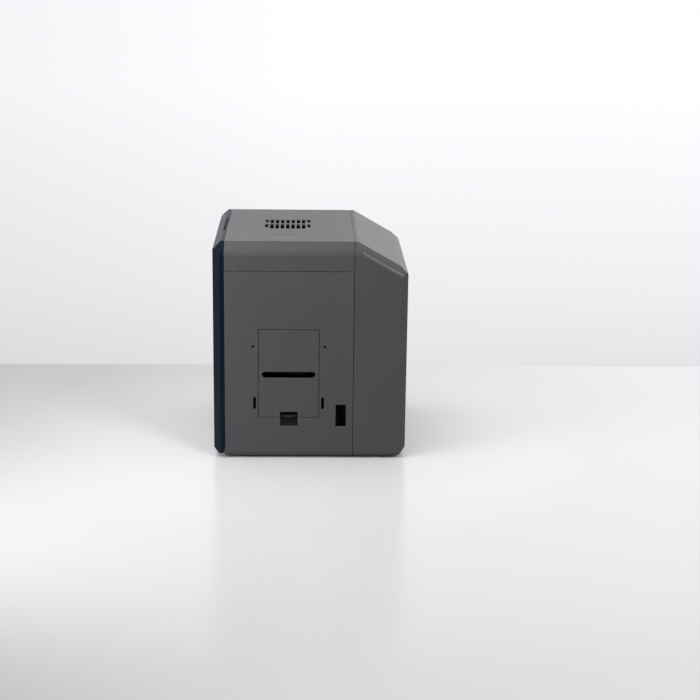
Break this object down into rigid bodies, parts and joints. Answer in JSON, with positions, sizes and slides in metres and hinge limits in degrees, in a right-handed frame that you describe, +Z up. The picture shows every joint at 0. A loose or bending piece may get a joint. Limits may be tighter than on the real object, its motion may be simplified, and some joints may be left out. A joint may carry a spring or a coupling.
{
  "type": "id card printer",
  "caption": "Bench-top retransfer card printer with a drop-down front door, a side-hinged top cover, a card hatch and slot on its side and a sloped rear housing.",
  "frame": {"origin": "middle of the case on the table plane, under the feet", "axes": "+Z up, -Y towards the front door, +X towards the hatch side"},
  "size_m": [0.308, 0.308, 0.354],
  "materials": {
    "case_plastic": "satin moulded dark grey",
    "door_plastic": "satin moulded navy",
    "sheet_metal": "zinc-plated sheet",
    "rubber": "matt rubber",
    "silicone": "satin silicone",
    "tacky_roller": "glossy polymer",
    "black_plastic": "matt moulded black",
    "display_glass": "glossy smoked window",
    "circuit_board": "solder mask",
    "button_plastic": "satin moulded light grey",
    "ceramic": "ceramic and aluminium",
    "cassette_plastic": "satin moulded blue",
    "film": "clear film wound on a core",
    "ribbon": "dye ribbon wound on a core",
    "motor_metal": "black laminations and end caps",
    "brass": "machined brass",
    "gear_plastic": "moulded acetal"
  },
  "bodies": {
    "case": {"right_panel": "case_plastic", "left_panel": "case_plastic", "rear_housing": "case_plastic", "base_pan": "sheet_metal", "feet": "rubber", "rear_screws": "sheet_metal", "dock_connector": "black_plastic", "front_frame": "sheet_metal", "rear_frame": "sheet_metal", "card_guides": "black_plastic", "card_hopper": "black_plastic", "output_tray": "black_plastic", "flipper_motor": "motor_metal", "transport_motor": "motor_metal", "drive_belt": "rubber", "ribbon_motor": "motor_metal", "film_motor": "motor_metal", "main_board": "circuit_board", "power_supply": "sheet_metal", "mains_inlet": "black_plastic", "fan_housing": "black_plastic"},
    "door": {"front_door": "door_plastic", "door_liner": "black_plastic", "display_window": "display_glass", "display_board": "circuit_board"},
    "head": {"print_head": "ceramic", "head_bracket": "sheet_metal"},
    "film_carrier": {"film_cassette": "cassette_plastic", "film_web": "film"},
    "ribbon_carrier": {"ribbon_cassette": "cassette_plastic", "ribbon_web": "ribbon"},
    "button_ok": {"button_ok": "button_plastic"},
    "button_menu": {"button_menu": "button_plastic"},
    "power_button": {"power_button": "button_plastic"},
    "top_cover": {"top_cover": "case_plastic"},
    "side_hatch": {"side_hatch": "case_plastic"},
    "hatch_latch": {"hatch_latch": "black_plastic"},
    "hopper_plate": {"hopper_plate": "sheet_metal"},
    "feed_roller": {"feed_roller": "rubber"},
    "cleaning_roller": {"cleaning_roller": "tacky_roller"},
    "drive_roller_1": {"drive_roller_1": "rubber"},
    "drive_roller_2": {"drive_roller_2": "rubber"},
    "pinch_roller": {"pinch_roller": "rubber"},
    "transfer_platen": {"transfer_platen": "rubber"},
    "heat_roller": {"heat_roller": "silicone"},
    "print_platen": {"print_platen": "rubber"},
    "film_supply": {"film_supply": "film"},
    "film_takeup": {"film_takeup": "film"},
    "ribbon_supply": {"ribbon_supply": "ribbon"},
    "ribbon_takeup": {"ribbon_takeup": "ribbon"},
    "flipper": {"flipper": "black_plastic"},
    "motor_pulley": {"motor_pulley": "sheet_metal"},
    "ribbon_pinion": {"ribbon_pinion": "brass"},
    "ribbon_hub": {"ribbon_hub": "gear_plastic"},
    "film_pinion": {"film_pinion": "brass"},
    "film_hub": {"film_hub": "gear_plastic"},
    "power_switch": {"power_switch": "black_plastic"},
    "fan_rotor": {"fan_rotor": "black_plastic"}
  },
  "joints": [
    {"name": "door_hinge", "type": "hinge", "parent": "case", "child": "door", "pos_m": [0, -0.1427, 0.014], "axis": [1, 0, 0], "range_deg": [0, 80]},
    {"name": "ok_press", "type": "slide", "parent": "door", "child": "button_ok", "axis": [0, 1, 0], "range_m": [0, 0.0012], "stiffness_N_per_m": 300, "springref_m": -0.001},
    {"name": "menu_press", "type": "slide", "parent": "door", "child": "button_menu", "axis": [0, 1, 0], "range_m": [0, 0.0012], "stiffness_N_per_m": 300, "springref_m": -0.001},
    {"name": "power_press", "type": "slide", "parent": "door", "child": "power_button", "axis": [0, 1, 0], "range_m": [0, 0.0012], "stiffness_N_per_m": 300, "springref_m": -0.001},
    {"name": "cover_hinge", "type": "hinge", "parent": "case", "child": "top_cover", "pos_m": [-0.149, -0.033, 0.314], "axis": [0, -1, 0], "range_deg": [0, 85]},
    {"name": "hatch_hinge", "type": "hinge", "parent": "case", "child": "side_hatch", "pos_m": [0.1526, -0.03395, 0.2126], "axis": [0, -1, 0], "range_deg": [0, 90]},
    {"name": "latch_slide", "type": "slide", "parent": "case", "child": "hatch_latch", "axis": [0, 0, -1], "range_m": [0, 0.004], "stiffness_N_per_m": 300, "springref_m": -0.002},
    {"name": "plate_slide", "type": "slide", "parent": "case", "child": "hopper_plate", "axis": [0, 0, 1], "range_m": [0, 0.14]},
    {"name": "drive_1_spin", "type": "hinge", "parent": "case", "child": "drive_roller_1", "pos_m": [-0.038, -0.03395, 0.1319], "axis": [0, 1, 0], "continuous": true},
    {"name": "feed_spin", "type": "hinge", "parent": "case", "child": "feed_roller", "pos_m": [-0.08, -0.03395, 0.1319], "axis": [0, 1, 0], "continuous": true},
    {"name": "drive_2_spin", "type": "hinge", "parent": "case", "child": "drive_roller_2", "pos_m": [0.06, -0.03395, 0.1319], "axis": [0, 1, 0], "continuous": true},
    {"name": "clean_spin", "type": "hinge", "parent": "case", "child": "cleaning_roller", "pos_m": [-0.038, -0.03395, 0.1487], "axis": [0, 1, 0], "continuous": true},
    {"name": "pinch_spin", "type": "hinge", "parent": "case", "child": "pinch_roller", "pos_m": [0.06, -0.03395, 0.1487], "axis": [0, 1, 0], "continuous": true},
    {"name": "transfer_spin", "type": "hinge", "parent": "case", "child": "transfer_platen", "pos_m": [0.015, -0.03395, 0.1319], "axis": [0, 1, 0], "continuous": true},
    {"name": "heat_spin", "type": "hinge", "parent": "case", "child": "heat_roller", "pos_m": [0.015, -0.03395, 0.1536], "axis": [0, 1, 0], "continuous": true},
    {"name": "motor_spin", "type": "hinge", "parent": "case", "child": "motor_pulley", "pos_m": [0, -0.03395, 0.085], "axis": [0, 1, 0], "continuous": true},
    {"name": "platen_spin", "type": "hinge", "parent": "case", "child": "print_platen", "pos_m": [0.038, -0.03395, 0.256], "axis": [0, 1, 0], "continuous": true},
    {"name": "head_pivot", "type": "hinge", "parent": "case", "child": "head", "pos_m": [0.08, -0.03395, 0.282], "axis": [0, -1, 0], "range_deg": [0, 8], "stiffness_Nm_per_rad": 0.3, "springref_deg": -20.05},
    {"name": "film_slide", "type": "slide", "parent": "case", "child": "film_carrier", "axis": [0, -1, 0], "range_m": [0, 0.038]},
    {"name": "ribbon_slide", "type": "slide", "parent": "case", "child": "ribbon_carrier", "axis": [0, -1, 0], "range_m": [0, 0.038]},
    {"name": "film_takeup_spin", "type": "hinge", "parent": "film_carrier", "child": "film_takeup", "pos_m": [-0.022, -0.03395, 0.2], "axis": [0, 1, 0], "continuous": true},
    {"name": "film_supply_spin", "type": "hinge", "parent": "film_carrier", "child": "film_supply", "pos_m": [-0.022, -0.03395, 0.274], "axis": [0, 1, 0], "continuous": true},
    {"name": "ribbon_takeup_spin", "type": "hinge", "parent": "ribbon_carrier", "child": "ribbon_takeup", "pos_m": [0.112, -0.03395, 0.21], "axis": [0, 1, 0], "continuous": true},
    {"name": "ribbon_supply_spin", "type": "hinge", "parent": "ribbon_carrier", "child": "ribbon_supply", "pos_m": [0.112, -0.03395, 0.282], "axis": [0, 1, 0], "continuous": true},
    {"name": "film_hub_spin", "type": "hinge", "parent": "case", "child": "film_hub", "pos_m": [-0.022, 0.01205, 0.2], "axis": [0, 1, 0], "continuous": true},
    {"name": "ribbon_hub_spin", "type": "hinge", "parent": "case", "child": "ribbon_hub", "pos_m": [0.112, 0.01205, 0.21], "axis": [0, 1, 0], "continuous": true},
    {"name": "film_pinion_spin", "type": "hinge", "parent": "case", "child": "film_pinion", "pos_m": [-0.022, 0.01205, 0.23], "axis": [0, 1, 0], "continuous": true},
    {"name": "ribbon_pinion_spin", "type": "hinge", "parent": "case", "child": "ribbon_pinion", "pos_m": [0.112, 0.01205, 0.24], "axis": [0, 1, 0], "continuous": true},
    {"name": "flipper_turn", "type": "hinge", "parent": "case", "child": "flipper", "pos_m": [0.104, -0.03395, 0.1403], "axis": [0, 1, 0], "continuous": true},
    {"name": "switch_rock", "type": "hinge", "parent": "case", "child": "power_switch", "pos_m": [-0.105, 0.1482, 0.0815], "axis": [-1, 0, 0], "range_deg": [0, 16]},
    {"name": "fan_spin", "type": "hinge", "parent": "case", "child": "fan_rotor", "pos_m": [-0.02, 0.138, 0.219], "axis": [0, 1, 0], "continuous": true}
  ],
  "couplings": [
    {"joint": "feed_spin", "follows": "drive_1_spin", "ratio": 1},
    {"joint": "drive_2_spin", "follows": "drive_1_spin", "ratio": 1},
    {"joint": "clean_spin", "follows": "drive_1_spin", "ratio": -1},
    {"joint": "pinch_spin", "follows": "drive_1_spin", "ratio": -1},
    {"joint": "transfer_spin", "follows": "drive_1_spin", "ratio": 1},
    {"joint": "heat_spin", "follows": "drive_1_spin", "ratio": -0.66667},
    {"joint": "motor_spin", "follows": "drive_1_spin", "ratio": 0.75},
    {"joint": "film_supply_spin", "follows": "film_takeup_spin", "ratio": 0.65},
    {"joint": "film_hub_spin", "follows": "film_takeup_spin", "ratio": 1},
    {"joint": "film_pinion_spin", "follows": "film_takeup_spin", "ratio": -4},
    {"joint": "platen_spin", "follows": "film_takeup_spin", "ratio": 1.3},
    {"joint": "ribbon_supply_spin", "follows": "ribbon_takeup_spin", "ratio": 0.65},
    {"joint": "ribbon_hub_spin", "follows": "ribbon_takeup_spin", "ratio": 1},
    {"joint": "ribbon_pinion_spin", "follows": "ribbon_takeup_spin", "ratio": -4}
  ]
}
